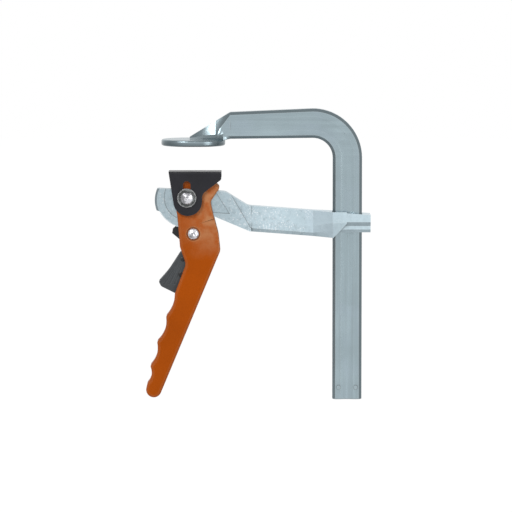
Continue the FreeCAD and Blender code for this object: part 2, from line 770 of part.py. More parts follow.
def make_lever():
    body = new_body("lever", pivot_x, 0, pivot_z)
    outline = new_sketch(body, "lever_outline")
    start, horn = Size(148), Size(45)
    cam_left = polar(s.cam_radius, start)
    cam_top = polar(s.cam_radius, Size(90))
    cam_right = polar(s.cam_radius, horn)
    back = -(s.pin_diameter / 2 + 4.4)
    end_x, end_z, end_radius = s.grip_end_x, s.grip_end_z, s.grip_end_radius
    way_x, way_z = s.elbow_reach - end_x, -s.elbow_drop - end_z
    slant = direction(way_x, way_z) - arc_cosine(end_radius / length(way_x, way_z))
    grip_right = polar(end_radius, slant)
    grip_low = polar(end_radius, Size(-110))
    heel = Size(168)
    grip_left = polar(end_radius, heel)

    # Four finger grooves, eased into the straight edges below and above them
    straight = heel - 90
    way_in, way_out = Size(50), Size(89)
    heel_x = end_x + grip_left[0] + 4.1 * cosine(straight)
    heel_z = end_z + grip_left[1] + 4.1 * sine(straight)
    heel_start, heel_end = eased_corner(heel_x, heel_z, straight, way_in)
    first_cusp = (end_x - 3.2, end_z + 20.6)
    last_cusp = (end_x + 10.6, end_z + 63.2)
    waist = (Size(-1.0), Size(-57.0))
    shoulder = (end_x + 18.1, end_z + 82.6)
    upward = direction(waist[0] - shoulder[0], waist[1] - shoulder[1])
    shoulder_start, shoulder_end = eased_corner(*shoulder, way_out, upward)
    lowest = (first_cusp[0] - heel_end[0], first_cusp[1] - heel_end[1])
    lowest_radius = length(*lowest) / (2 * sine(direction(*lowest) - way_in))
    highest = (shoulder_start[0] - last_cusp[0], shoulder_start[1] - last_cusp[1])
    highest_radius = length(*highest) / (2 * sine(way_out - direction(*highest)))
    draw_outline(outline, [
        (s.cam_offset + cam_left[0], cam_left[1], {"arc": -s.cam_radius}),
        (s.cam_offset + cam_top[0], cam_top[1], {"arc": -s.cam_radius}),
        (s.cam_offset + cam_right[0], cam_right[1]),
        (s.cam_offset + cam_right[0] + s.horn_length * sine(horn),
         cam_right[1] - s.horn_length * cosine(horn), {"round": 2.6}),
        (s.elbow_reach - 8.2, Size(-3.4), {"round": 5}),
        (s.elbow_reach - 5.6, Size(-16.0), {"round": 60}),
        (s.elbow_reach - 1.6, Size(-31.0), {"round": 40}),
        (s.elbow_reach, -s.elbow_drop, {"round": 4}),
        (end_x + grip_right[0], end_z + grip_right[1], {"arc": -end_radius}),
        (end_x + grip_low[0], end_z + grip_low[1], {"arc": -end_radius}),
        (end_x + grip_left[0], end_z + grip_left[1]),
        (*heel_start, {"arc": -s.groove_end_round}),
        (*heel_end, {"arc": lowest_radius}),
        (*first_cusp, {"arc": 21.5, "round": 2.6}),
        (end_x + 2.8, end_z + 41.4, {"arc": 23.6, "round": 2.6}),
        (*last_cusp, {"arc": highest_radius, "round": 2.6}),
        (*shoulder_start, {"arc": -s.groove_end_round}),
        shoulder_end,
        (*waist, {"round": 8}),
        (Size(-6.0), Size(-42.5), {"round": 12}),
        (Size(-8.2), Size(-15.7), {"round": 20}),
        (back - 1.2, Size(-3.0), {"round": 10}),
        (back, cam_left[1] - (s.cam_offset + cam_left[0] - back) * (-cosine(start)) / sine(start),
         {"round": 4}),
    ])
    pad(body, outline, "lever_blank", cheek_outer * 2)
    dress(body, "Fillet", "lever_edges", edges_where(body, is_lever_rim), s.lever_edge_round)

    for side, name in ((-1, "front"), (1, "back")):
        cut_bevel(body, "lower_bevel_" + name, side, s.cheek_bevel_depth * 2, Size(-37), Size(-60))
        cut_bevel(body, "upper_bevel_" + name, side, s.cheek_bevel_depth, Size(-8), Size(14))

    slot = new_sketch(body, "lever_slot_outline")
    wall_top = s.pawl_offset_x + s.pawl_hub_radius + 3.4
    wall_low = wall_top - 9.0
    floor = pawl_offset_z - 5.0
    draw_outline(slot, [
        (Size(-45), Size(45)),
        (Size(50), Size(45)),
        (Size(50), floor - 7.5),
        (s.elbow_reach + 2.6, floor - 7.5),
        (wall_top + 1.0, floor, {"round": 3}),
        (wall_top, floor - 6.0),
        (wall_low, pawl_offset_z - 55.0, {"round": 2}),
        (wall_low - 18.5, pawl_offset_z - 53.0),
        (Size(-45), pawl_offset_z - 53.0),
    ])
    pocket(body, slot, "lever_slot", cheek_inner * 2)

    bores = new_sketch(body, "lever_bores")
    draw_circle(bores, 0, 0, s.pin_diameter / 2 + s.bore_gap)
    draw_circle(bores, s.pawl_offset_x, pawl_offset_z, s.pawl_rivet_shank / 2 + s.bore_gap)
    pocket(body, bores, "lever_bores_cut", cheek_outer * 3)
    for name, offset, reverse in (("seat_front", cheek_outer, False), ("seat_back", -cheek_outer, True)):
        seat = new_sketch(body, name, offset=offset)
        draw_circle(seat, s.pawl_offset_x, pawl_offset_z, s.rivet_seat_diameter / 2)
        pocket(body, seat, name + "_pocket", s.rivet_seat_depth, False, reverse)
    return body


def cut_bevel(body, name, side, depth, near_end, far_end):
    """Slanted cut in one cheek, deepest along the crease and deeper towards the rail side.

    It reaches from the crease to the height near_end where it starts and far_end at the far side.
    """
    outside = (cheek_outer + 0.1) * side

    def wedge(suffix, place, crease, cut, height):
        sketch = new_sketch(body, name + suffix, "YZ_Plane", offset=place)
        draw_outline(sketch, [
            (outside, crease),
            (outside - (cut + 0.1) * side, crease),
            (outside, height),
        ])
        return sketch

    near = wedge("_near", s.pawl_offset_x + 5.4, Size(-22.0), Size(0.05), near_end)
    far = wedge("_far", s.elbow_reach + 5.6, Size(-14.0), depth, far_end)
    before = body.Shape.Volume
    cut = body.newObject("PartDesign::SubtractiveLoft", name)
    cut.Profile = near
    cut.Sections = [far]
    cut.Ruled = True
    doc.recompute()
    if not body.Shape.Volume < before:
        raise RuntimeError("%s cuts nothing" % name)


def is_lever_rim(edge):
    """Edges that lie on one of the lever's flat sides."""
    box = edge.BoundBox
    return box.YLength < 0.01 and abs(abs(box.YMin) - cheek_outer.value) < 0.01


# Shoe
def make_shoe():
    body = new_body("shoe", pivot_x, 0, pivot_z)
    outline = new_sketch(body, "shoe_outline")
    boss_x = Size(0.7)
    left = polar(s.boss_radius, Size(184))
    below = polar(s.boss_radius, Size(265))
    right = polar(s.boss_radius, Size(0))
    draw_outline(outline, [
        (-s.shoe_left, shoe_top),
        (boss_x + left[0], left[1] - s.boss_drop, {"arc": s.boss_radius}),
        (boss_x + below[0], below[1] - s.boss_drop, {"arc": s.boss_radius}),
        (boss_x + right[0], right[1] - s.boss_drop),
        (s.boss_radius + 1.0, Size(3.4), {"round": 6}),
        (s.shoe_right, shoe_top - 6.4, {"round": 2.2}),
        (s.shoe_right, shoe_top),
    ])
    pad(body, outline, "shoe_blank", s.shoe_depth)
    top = shoe_top.value
    half = shoe_half.value
    bends = edges_where(
        body,
        lambda e: abs(e.BoundBox.ZMin - top) < 0.01 and e.BoundBox.ZLength < 0.01
        and e.BoundBox.YLength < 0.01 and abs(abs(e.BoundBox.YMin) - half) < 0.01,
    )
    dress(body, "Fillet", "shoe_bends", bends, s.shoe_bend_round)
    hollow = new_sketch(body, "shoe_hollow_outline", "YZ_Plane")
    draw_outline(hollow, [
        (-shoe_inner, Size(-30)),
        (shoe_inner, Size(-30)),
        (shoe_inner, shoe_underside),
        (-shoe_inner, shoe_underside),
    ])
    pocket(body, hollow, "shoe_hollow", (s.shoe_left + s.shoe_right) * 3)
    slots = new_sketch(body, "shoe_slots_outline")
    draw_slot(slots, Size(0), -s.slot_drop, s.slot_rise, s.journal_diameter / 2 + s.slot_gap)
    pocket(body, slots, "shoe_slots", s.shoe_depth * 2)
    return body


# Pivot pin with its washers
def pin_profile(inner, shank, journal, head, height, rim, half, seat):
    """Right half of a headed pin as (distance along Y, radius), from its middle outwards."""
    dimple = s.head_dimple_radius
    depth = s.head_dimple_depth
    hollow = (dimple * dimple + depth * depth) / (2 * depth)
    top = seat + height
    steps = [(half, shank), (half, journal), (seat, journal)] if inner else [(seat, shank)]
    return steps + [
        (seat, head),
        (seat + rim, head, {"arc": -(head * 1.15)}),
        (top, dimple, {"arc": hollow}),
        (top - depth, Size(0)),
    ]


def make_pin(name, x, z, profile):
    body = new_body(name, x, 0, z)
    sketch = new_sketch(body, name + "_profile", "YZ_Plane")
    corners = list(profile)
    left = []
    for index in range(len(profile) - 1, -1, -1):
        point = profile[index]
        before = profile[index - 1] if index else ()
        option = before[2] if len(before) > 2 else {}
        left.append((-as_size(point[0]), point[1], option))
    draw_outline(sketch, corners + left)
    revolve(body, sketch, name + "_turned", "H_Axis")
    return body


def make_pivot_pin():
    return make_pin("pivot_pin", pivot_x, pivot_z, pin_profile(
        True, s.pin_diameter / 2, s.journal_diameter / 2, s.pin_head_diameter / 2,
        s.pin_head_height, Size(0.4), cheek_outer - 0.05, washer_outer,
    ))


def make_pawl_rivet():
    return make_pin("pawl_rivet", pawl_x, pawl_z, pin_profile(
        False, s.pawl_rivet_shank / 2, Size(0), s.pawl_rivet_head / 2,
        s.pawl_rivet_dome, Size(0.5), cheek_outer, cheek_outer - s.rivet_seat_depth,
    ))


def make_ring(name, x, z, near, length, outer, bore, bevel=None):
    """A ring round a pin, from the distance near along the sketch's normal."""
    body = new_body(name, x, 0, z)
    sketch = new_sketch(body, name + "_outline", offset=near)
    draw_circle(sketch, 0, 0, outer)
    draw_circle(sketch, 0, 0, bore)
    pad(body, sketch, name + "_pad", length, symmetric=False)
    if bevel is not None:
        edges = edges_where(
            body, lambda e: e.BoundBox.YLength < 0.01 and abs(e.BoundBox.XLength / 2 - outer.value) < 0.01
        )
        dress(body, "Chamfer", name + "_bevel", edges, bevel)
    return body


def make_washers():
    outer = s.washer_diameter / 2
    bore = s.journal_diameter / 2 + s.bore_gap
    return [
        make_ring("pivot_washer_front", pivot_x, pivot_z, washer_inner, s.washer_thickness,
                  outer, bore, s.washer_bevel),
        make_ring("pivot_washer_back", pivot_x, pivot_z, -washer_outer, s.washer_thickness,
                  outer, bore, s.washer_bevel),
    ]


def make_spacers():
    outer = s.spacer_diameter / 2
    bore = s.pawl_rivet_shank / 2 + s.bore_gap
    near = s.pawl_thickness / 2 + s.bore_gap
    length = cheek_inner - near - s.bore_gap
    return [
        make_ring("pawl_spacer_front", pawl_x, pawl_z, near, length, outer, bore),
        make_ring("pawl_spacer_back", pawl_x, pawl_z, -(near + length), length, outer, bore),
    ]


# Pawl: drawn home in the notches and turned back to where it rides just clear of the teeth
def turned(x, z, angle):
    x, z = as_size(x), as_size(z)
    return x * cosine(angle) - z * sine(angle), x * sine(angle) + z * cosine(angle)


def notch_point(radius, angle):
    """A point given round the lever's pivot, seen from the pawl's rivet and turned to rest."""
    x, z = polar(radius, angle)
    return turned(x - s.pawl_offset_x, z - pawl_offset_z, s.pawl_home)


def make_pawl():
    body = new_body("pawl", pawl_x, 0, pawl_z)
    outline = new_sketch(body, "pawl_outline")
    root = s.sector_radius - s.tooth_depth + s.pawl_tip_gap
    ride = s.sector_radius + s.pawl_tip_gap
    first = s.first_tooth + s.tooth_pitch * 13
    back_off = Size(0.3)
    rise = (s.tooth_depth + notch_mouth) / s.tooth_pitch
    teeth = []
    for number in (1, 0):
        start = first + s.tooth_pitch * number
        teeth.append(notch_point(ride, start + (ride - root) / rise))
        teeth.append(notch_point(root + rise * back_off, start + back_off))
        teeth.append(notch_point(ride + 0.05, start + back_off))
    hub = s.pawl_hub_radius
    hub_top = polar(hub, Size(110))
    hub_right = polar(hub, Size(20))
    hub_low = polar(hub, Size(-40))
    draw_outline(outline, [
        (hub_low[0], hub_low[1], {"arc": hub}),
        (hub_right[0], hub_right[1], {"arc": hub}),
        (hub_top[0], hub_top[1]),
        (Size(-8.0), Size(3.6)),
    ] + teeth + [
        (Size(-17.6), Size(4.0)),
        (Size(-18.2), Size(0.2)),
        (Size(-11.3), Size(-5.6)),
        (Size(-9.4), Size(-9.0)),
        (Size(-9.0), Size(-16.0)),
        (Size(-13.2), Size(-41.0)),
        (Size(-9.4), Size(-41.6)),
        (Size(-3.2), Size(-17.0)),
        (Size(1.8), Size(-9.0)),
    ])
    pad(body, outline, "pawl_plate", s.pawl_thickness)
    bores = new_sketch(body, "pawl_bores")
    draw_circle(bores, 0, 0, s.pawl_rivet_shank / 2 + s.bore_gap)
    for x, z in TRIGGER_RIVETS:
        draw_circle(bores, x, z, s.rivet_diameter / 2)
    pocket(body, bores, "pawl_bores_cut", s.pawl_thickness * 2)
    return body


TRIGGER_RIVETS = ((-8.9, -22.0), (-10.9, -35.0))


def is_trigger_rim(edge):
    """Edges round one of the trigger's flat sides."""
    box = edge.BoundBox
    return box.YLength < 0.01 and abs(abs(box.YMin) - s.trigger_width.value / 2) < 0.01


def make_trigger():
    body = new_body("trigger", pawl_x, 0, pawl_z)
    outline = new_sketch(body, "trigger_outline")
    draw_outline(outline, [
        (Size(-6.6), Size(-15.4)),
        (Size(-11.2), Size(-15.9), {"round": 1.4}),
        (Size(-14.2), Size(-20.6), {"round": 30}),
        (Size(-21.2), Size(-31.4), {"round": 60}),
        (Size(-29.9), Size(-41.2), {"round": 2.4}),
        (Size(-27.6), Size(-45.4), {"round": 2.6}),
        (Size(-16.1), Size(-51.1)),
        (Size(-10.6), Size(-51.3), {"round": 1.5}),
        (Size(-4.2), Size(-17.0)),
    ])
    pad(body, outline, "trigger_blank", s.trigger_width)
    dress(body, "Fillet", "trigger_edges", edges_where(body, is_trigger_rim), s.trigger_edge_round)
    half = s.trigger_width / 2
    for side, reverse in (("front", False), ("back", True)):
        fan = new_sketch(body, "fan_" + side, offset=-half if reverse else half)
        for foot in (Size(-25.4), Size(-21.0), Size(-16.6)):
            draw_outline(fan, [
                (foot * 0.5 - 1.4, Size(-26.0)),
                (foot - 1.0, Size(-43.6)),
                (foot + 1.0, Size(-44.2)),
                (foot * 0.5 - 0.9, Size(-26.0)),
            ])
        pocket(body, fan, "fan_%s_pocket" % side, s.trigger_rib_depth, False, reverse)
    slot = new_sketch(body, "trigger_slot_outline")
    draw_outline(slot, [
        (Size(-9.1), Size(-10.0)),
        (Size(-9.1), Size(-16.0)),
        (Size(-13.3), Size(-41.0)),
        (Size(-13.2), Size(-41.7)),
        (Size(-2.0), Size(-41.7)),
        (Size(0.0), Size(-10.0)),
    ])
    pocket(body, slot, "trigger_slot", s.pawl_thickness + 0.1)
    bores = new_sketch(body, "trigger_bores")
    for x, z in TRIGGER_RIVETS:
        draw_circle(bores, x, z, s.rivet_diameter / 2)
    pocket(body, bores, "trigger_bores_cut", s.trigger_width * 2)
    return body


def make_trigger_rivets():
    rivets = []
    half = s.trigger_width / 2
    for name, (x, z) in zip(("trigger_rivet_upper", "trigger_rivet_lower"), TRIGGER_RIVETS):
        body = new_body(name, pawl_x + x, 0, pawl_z + z)
        sketch = new_sketch(body, name + "_profile", "YZ_Plane")
        shank = s.rivet_diameter / 2
        head = s.rivet_head_diameter / 2
        top = half + s.rivet_head_height
        draw_outline(sketch, [
            (-top, Size(0)),
            (-top, head * 0.6),
            (-half - 0.15, head),
            (-half, head),
            (-half, shank),
            (half, shank),
            (half, head),
            (half + 0.15, head),
            (top, head * 0.6),
            (top, Size(0)),
        ])
        revolve(body, sketch, name + "_turned", "H_Axis")
        rivets.append(body)
    return rivets


def make_spring():
    """Torsion spring round the back spacer: two turns with one leg to the lever, one to the pawl."""
    wire = s.wire_diameter.value
    radius = s.spring_radius.value
    start = s.pawl_thickness.value / 2 + 0.35 + wire / 2
    turns = 2
    pitch = wire + 0.12
    points = [
        FreeCAD.Vector(7.6, start, -3.4),
        FreeCAD.Vector(4.6, start, -3.7),
        FreeCAD.Vector(1.8, start, -radius + 0.02),
    ]
    steps = 16
    for step in range(turns * steps + 1):
        angle = -90 - 360 * step / steps
        points.append(FreeCAD.Vector(
            radius * math.cos(math.radians(angle)),
            start + pitch * turns * step / (turns * steps),
            radius * math.sin(math.radians(angle)),
        ))
    last = start + pitch * turns
    points += [
        FreeCAD.Vector(-2.2, last, -radius - 0.25),
        FreeCAD.Vector(-5.0, last, -radius - 1.6),
        FreeCAD.Vector(-7.0, last, -radius - 3.6),
    ]
    curve = Part.BSplineCurve()
    curve.interpolate(points)
    path = Part.Wire([curve.toShape()])
    tangent = curve.tangent(curve.FirstParameter)[0]
    section = Part.Wire([Part.Circle(points[0], tangent, wire / 2).toShape()])
    spring = doc.addObject("Part::Feature", "pawl_spring")
    spring.Label = "pawl_spring"
    spring.Shape = path.makePipeShell([section], True, True)
    for axis, place in (("x", pawl_x), ("z", pawl_z)):
        bind(spring, "Placement.Base.%s" % axis, place)
    return spring


bodies = [make_rail(), make_sliding_arm(), make_lever(), make_shoe(), make_pivot_pin()]
bodies += make_washers()
bodies += [make_pawl_rivet()]
bodies += make_spacers()
bodies += [make_spring(), make_pawl(), make_trigger()]
bodies += make_trigger_rivets()
doc.recompute()


def check_document():
    """Stop on any object that failed and any sub-part without a sound solid."""
    for item in doc.Objects:
        if "Invalid" in item.State or "Error" in item.State:
            raise RuntimeError("%s failed: %s" % (item.Name, item.State))
    for body in bodies:
        shape = body.Shape
        if shape.isNull() or not shape.isValid() or len(shape.Solids) != 1:
            raise RuntimeError("%s has no single sound solid" % body.Label)


check_document()
os.makedirs("parts", exist_ok=True)
for body in bodies:
    body.Shape.exportStep("parts/%s.step" % body.Label)
    print("%-24s %9.1f mm3" % (body.Label, body.Shape.Volume))
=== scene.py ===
# Quick release bar clamp: materials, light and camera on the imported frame.
import json
import math

import bpy
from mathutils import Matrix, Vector


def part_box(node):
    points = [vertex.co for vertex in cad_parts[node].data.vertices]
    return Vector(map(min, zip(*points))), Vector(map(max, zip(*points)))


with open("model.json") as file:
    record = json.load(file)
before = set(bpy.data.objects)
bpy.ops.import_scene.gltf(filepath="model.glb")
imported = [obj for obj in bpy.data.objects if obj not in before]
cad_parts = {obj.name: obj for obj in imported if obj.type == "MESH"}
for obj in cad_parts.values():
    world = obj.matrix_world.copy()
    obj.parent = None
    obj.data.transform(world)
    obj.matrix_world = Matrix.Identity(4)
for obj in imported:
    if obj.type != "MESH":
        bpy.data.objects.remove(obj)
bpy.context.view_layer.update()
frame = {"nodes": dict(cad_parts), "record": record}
nodes = frame["nodes"]
scene = bpy.context.scene

# Camera: the point in the middle of the photograph, and the size of a pixel there in metres
VIEW_CENTRE = (0.05356, 0, -0.0950)
VIEW_PIXELS = 512
PIXEL_SIZE = 0.000857
VIEW_DISTANCE = 3.0
VIEW_ELEVATION_DEGREES = 5.4

# Light and floor. The floor is part white glow and part plain grey, which takes the shadow.
WORLD_LIGHT = 0.50
FLOOR_HEIGHT = -0.36
FLOOR_REACH = 6.0
FLOOR_GREY = (0.86, 0.86, 0.86, 1)
FLOOR_GLOW = 1.15
FLOOR_GLOW_SHARE = 0.8
WHITE = (1, 1, 1, 1)

# Zones of the finish and of painted shade and highlight: where each begins and where it is complete, in
# metres along X or Z
BEND_HEIGHTS = (-0.030, -0.004)
JAW_REACH = (0.034, 0.028)
JAW_RIM_HEIGHTS = (0.0052, 0.0015)
HEAD_REACH = (0.020, 0.062)
CRYSTAL_REACH = (0.0955, 0.1035)
HIGHLIGHT_HEIGHTS = (-0.098, -0.070)
HIGHLIGHT_REACH = (-0.004, 0.006)

# Colours, linear
BAR_ZINC = (0.345, 0.43, 0.465)
CAST_ZINC = (0.54, 0.665, 0.725)
CRYSTAL = (0.97, 0.98, 1.0)
# Painted highlight along the edges of zinc parts
ZINC_EDGE_HIGHLIGHT = (0.86, 0.90, 0.92)
ORANGE = (0.33, 0.060, 0.0010)
# Painted highlight on the lever near the pivot and along its edges
HIGHLIGHT_ORANGE = (0.45, 0.23, 0.11)
CHIPPED = (0.10, 0.075, 0.06)
SHOE_BLACK = (0.010, 0.010, 0.013)
PAWL_BLACK = (0.009, 0.009, 0.010)
TRIGGER_GREY = (0.034, 0.038, 0.041)
PIN_STEEL = (0.62, 0.62, 0.65)
WASHER_STEEL = (0.19, 0.20, 0.20)
SPRING_STEEL = (0.33, 0.34, 0.35)
# Painted highlight along the edges of turned steel
STEEL_EDGE_HIGHLIGHT = (0.90, 0.90, 0.91)


def shade(colour, factor):
    return tuple(min(1.0, part * factor) for part in colour)


def middle(node):
    """Centre of a node's box."""
    low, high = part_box(node)
    return [(a + b) / 2 for a, b in zip(low, high)]


class Shader:
    """A material with one Principled shader and short calls for the nodes before it."""

    def __init__(self, name):
        self.material = bpy.data.materials.new(name)
        self.material.use_nodes = True
        self.tree = self.material.node_tree
        self.tree.nodes.clear()
        output = self.new("OutputMaterial")
        self.surface = self.new("BsdfPrincipled")
        self.tree.links.new(self.surface.outputs["BSDF"], output.inputs["Surface"])
        coordinates = self.new("TexCoord")
        self.place = coordinates.outputs["Object"]
        self.facing = coordinates.outputs["Normal"]

    def new(self, kind):
        return self.tree.nodes.new("ShaderNode" + kind)

    def feed(self, value, socket):
        """Link a node's output to a socket, or set the socket to a number or colour."""
        if hasattr(value, "is_output"):
            self.tree.links.new(value, socket)
        elif isinstance(value, tuple) and socket.type == "RGBA":
            socket.default_value = (*value, 1.0)
        else:
            socket.default_value = value

    def set(self, **values):
        for name, value in values.items():
            self.feed(value, self.surface.inputs[name.replace("_", " ").title().replace("Ior", "IOR")])

    def noise(self, scale, detail, rough, stretch=None, distortion=0.0):
        """Clouded pattern of a scale, number of octaves and roughness."""
        node = self.new("TexNoise")
        node.inputs["Scale"].default_value = scale
        node.inputs["Detail"].default_value = detail
        node.inputs["Roughness"].default_value = rough
        node.inputs["Distortion"].default_value = distortion
        place = self.place
        if stretch:
            mapping = self.new("Mapping")
            mapping.inputs["Scale"].default_value = stretch
            self.feed(place, mapping.inputs["Vector"])
            place = mapping.outputs["Vector"]
        self.feed(place, node.inputs["Vector"])
        return node.outputs["Fac"]

    def cells(self, scale):
        """Distance from the middle of the nearest cell."""
        node = self.new("TexVoronoi")
        node.inputs["Scale"].default_value = scale
        self.feed(self.place, node.inputs["Vector"])
        return node.outputs["Distance"]

    def ramp(self, value, low, high, first=0.0, last=1.0):
        """Map value from low..high to first..last and hold the ends."""
        node = self.new("MapRange")
        node.inputs["From Min"].default_value = low
        node.inputs["From Max"].default_value = high
        node.inputs["To Min"].default_value = first
        node.inputs["To Max"].default_value = last
        self.feed(value, node.inputs["Value"])
        return node.outputs["Result"]

    def math(self, kind, *values):
        node = self.new("Math")
        node.operation = kind
        for value, socket in zip(values, node.inputs):
            self.feed(value, socket)
        return node.outputs["Value"]

    def times(self, first, *others):
        for other in others:
            first = self.math("MULTIPLY", first, other)
        return first

    def blend(self, factor, first, second):
        """Number between first and second."""
        node = self.new("Mix")
        for value, socket in zip((factor, first, second), (node.inputs[0], node.inputs[2], node.inputs[3])):
            self.feed(value, socket)
        return node.outputs[0]

    def mix(self, factor, first, second):
        """Colour between first and second."""
        node = self.new("Mix")
        node.data_type = "RGBA"
        for value, socket in zip((factor, first, second), (node.inputs[0], node.inputs[6], node.inputs[7])):
            self.feed(value, socket)
        return node.outputs[2]

    def height(self):
        """Height above the origin, in metres."""
        return self.part_of(self.place, "Z")

    def along(self):
        """Distance from the origin towards the rail, in metres."""
        return self.part_of(self.place, "X")

    def part_of(self, vector, axis):
        node = self.new("SeparateXYZ")
        self.feed(vector, node.inputs["Vector"])
        return node.outputs[axis]

    def edge(self, radius):
        """1 along edges and 0 on flat faces: how far a bevelled normal leaves the real one."""
        bevel = self.new("Bevel")
        bevel.samples = 6
        bevel.inputs["Radius"].default_value = radius
        gap = self.new("VectorMath")
        gap.operation = "DISTANCE"
        self.feed(bevel.outputs["Normal"], gap.inputs[0])
        self.feed(self.new("NewGeometry").outputs["Normal"], gap.inputs[1])
        return self.ramp(gap.outputs["Value"], 0.02, 0.25)

    def hollow_shade(self, reach):
        """1 in the hollows of a piece and 0 on its open faces: the mask of painted shade in hollows."""
        node = self.new("AmbientOcclusion")
        node.samples = 8
        node.only_local = True
        node.inputs["Distance"].default_value = reach
        return self.ramp(node.outputs["AO"], 0.55, 0.97, 1.0, 0.0)

    def rounding(self):
        """1 half way round a corner between a front or back face and a side, 0 on the faces: the mask of
        painted shade along rounded edges.
        """
        frontness = self.part_of(self.facing, "Y")
        square = self.times(frontness, frontness)
        return self.times(square, self.math("SUBTRACT", 1.0, square), 4.0)

    def rings(self, centre, pitch):
        """Waves round the line through centre that runs from front to back."""
        shift, flat, reach = (self.new("VectorMath") for _ in range(3))
        shift.operation = "SUBTRACT"
        shift.inputs[1].default_value = centre
        flat.operation = "MULTIPLY"
        flat.inputs[1].default_value = (1, 0, 1)
        reach.operation = "LENGTH"
        self.feed(self.place, shift.inputs[0])
        self.feed(shift.outputs["Vector"], flat.inputs[0])
        self.feed(flat.outputs["Vector"], reach.inputs[0])
        return self.math("SINE", self.times(reach.outputs["Value"], 2 * math.pi / pitch))

    def bump(self, *layers):
        """Bump from (height, strength, depth in metres) layers, laid one on another."""
        normal = None
        for height, strength, depth in layers:
            node = self.new("Bump")
            node.inputs["Strength"].default_value = strength
            node.inputs["Distance"].default_value = depth
            self.feed(height, node.inputs["Height"])
            if normal:
                self.feed(normal, node.inputs["Normal"])
            normal = node.outputs["Normal"]
        self.feed(normal, self.surface.inputs["Normal"])


# Materials
def bar_lines(m):
    """Drawing lines that follow the bar: upright below the bend and level above it."""
    scale, detail, rough, stretch = 300, 4, 0.6, 0.03
    upright = m.noise(scale, detail, rough, (1, 1, stretch))
    level = m.noise(scale, detail, rough, (stretch, 1, 1))
    return m.blend(m.ramp(m.height(), *BEND_HEIGHTS), upright, level)


def crystals(m, base, colour):
    """Bright and dull crystals of a casting, which fade out towards the rail."""
    near_head = m.ramp(m.along(), *CRYSTAL_REACH, 1.0, 0.15)
    dull = m.times(m.ramp(m.noise(230, 4, 0.7), 0.54, 0.68), near_head, 0.6)
    colour = m.mix(dull, colour, shade(base, 0.55))
    bright = m.ramp(m.noise(760, 3, 0.7), 0.55, 0.66)
    patches = m.ramp(m.noise(120, 3, 0.6), 0.40, 0.56)
    return m.mix(m.times(bright, patches, near_head, 0.85), colour, CRYSTAL)


def darker_head(m, base, colour):
    """The sliding arm's colour is darker at its head than on its straight part."""
    return m.mix(m.ramp(m.along(), *HEAD_REACH, 0.50, 0.0), colour, shade(base, 0.45))


def jaw_rim_painted_shade(m, base, colour):
    """Painted shade on the lower part of the fixed jaw's rim, standing in for a dark reflection."""
    rim_shade = m.times(m.ramp(m.along(), *JAW_REACH), m.ramp(m.height(), *JAW_RIM_HEIGHTS), 0.72)
    return m.mix(rim_shade, colour, shade(base, 0.22))


def zinc(name, base, rough, cast):
    """Zinc plated steel: clouded blue grey with lines, tints, stains and specks, with painted edge
    highlights and painted shade.

    A casting has crystals, and the drawn bar has lines along its length.
    """
    m = Shader(name)
    cloud = m.noise(24, 5, 0.6)
    lines = m.noise(300, 4, 0.6) if cast else bar_lines(m)
    tint = m.ramp(m.noise(34, 3, 0.5, distortion=1.0), 0.52, 0.70)
    tinted = (base[0] * 1.02, base[1] * 0.97, base[2] * 1.06)
    stain = m.ramp(m.noise(62, 6, 0.7, distortion=0.6), 0.60, 0.76)
    speck = m.times(m.ramp(m.cells(240), 0.10, 0.03), m.ramp(m.noise(90, 3, 0.5), 0.56, 0.62))
    colour = m.mix(m.ramp(cloud, 0.32, 0.68), shade(base, 0.90), shade(base, 1.08))
    colour = m.mix(m.ramp(lines, 0.35, 0.65, 0.0, 0.55), colour, shade(base, 0.72))
    colour = m.mix(m.times(tint, 0.20), colour, tinted)
    colour = m.mix(m.times(stain, 0.40), colour, shade(base, 0.66))
    if cast:
        colour = crystals(m, base, colour)
    colour = m.mix(m.times(speck, 0.75), colour, shade(base, 0.22))
    # The bar gets painted shade on its jaw rim; the casting is darker towards its head
    colour = darker_head(m, base, colour) if cast else jaw_rim_painted_shade(m, base, colour)
    # Painted highlight along the edges
    colour = m.mix(m.times(m.edge(0.0005), 0.30), colour, ZINC_EDGE_HIGHLIGHT)
    # Painted shade along the rounded side edges
    colour = m.mix(m.times(m.rounding(), 0.75), colour, shade(base, 0.25))
    # Painted shade in the hollows
    colour = m.mix(m.times(m.hollow_shade(0.004), 0.85), colour, shade(base, 0.16))
    roughness = m.ramp(lines, 0.3, 0.7, rough - 0.05, rough + 0.07)
    m.set(base_color=colour, metallic=1.0, roughness=m.math("ADD", roughness, m.times(stain, 0.1)))
    grain = m.cells(260) if cast else m.noise(420, 3, 0.6)
    m.bump((cloud, 0.18, 0.0006), (grain, 0.16, 0.00012))
    return m.material


def paint(name, base, highlight_colour, rough):
    """Powder coat: orange peel and clouding, a painted highlight near the pivot and at edges, painted shade
    in hollows, and dark chips.
    """
    m = Shader(name)
    cloud = m.noise(20, 4, 0.5)
    peel = m.noise(480, 2, 0.5)
    lumps = m.noise(110, 3, 0.5)
    edge = m.edge(0.0014)
    chip = m.ramp(m.times(edge, m.ramp(m.noise(150, 5, 0.7), 0.46, 0.74)), 0.42, 0.5)
    # Painted highlight near the pivot, on the rail side
    near_pivot = m.ramp(m.height(), *HIGHLIGHT_HEIGHTS)
    rail_side = m.ramp(m.along(), *HIGHLIGHT_REACH, 0.25, 1.0)
    painted_highlight = m.times(near_pivot, rail_side, m.ramp(lumps, 0.38, 0.62, 0.25, 0.85), 0.75)
    colour = m.mix(m.ramp(cloud, 0.35, 0.65), base, shade(base, 0.86))
    colour = m.mix(painted_highlight, colour, highlight_colour)
    # Painted highlight along the edges
    colour = m.mix(m.times(edge, 0.45), colour, highlight_colour)
    # Painted shade in the hollows
    colour = m.mix(m.times(m.hollow_shade(0.005), 0.7), colour, shade(base, 0.3))
    colour = m.mix(m.times(chip, 0.6), colour, CHIPPED)
    m.set(base_color=colour, roughness=m.ramp(cloud, 0.3, 0.7, rough, rough + 0.1), specular_ior_level=0.06)
    m.bump((lumps, 0.22, 0.0006), (peel, 0.22, 0.00014))
    return m.material


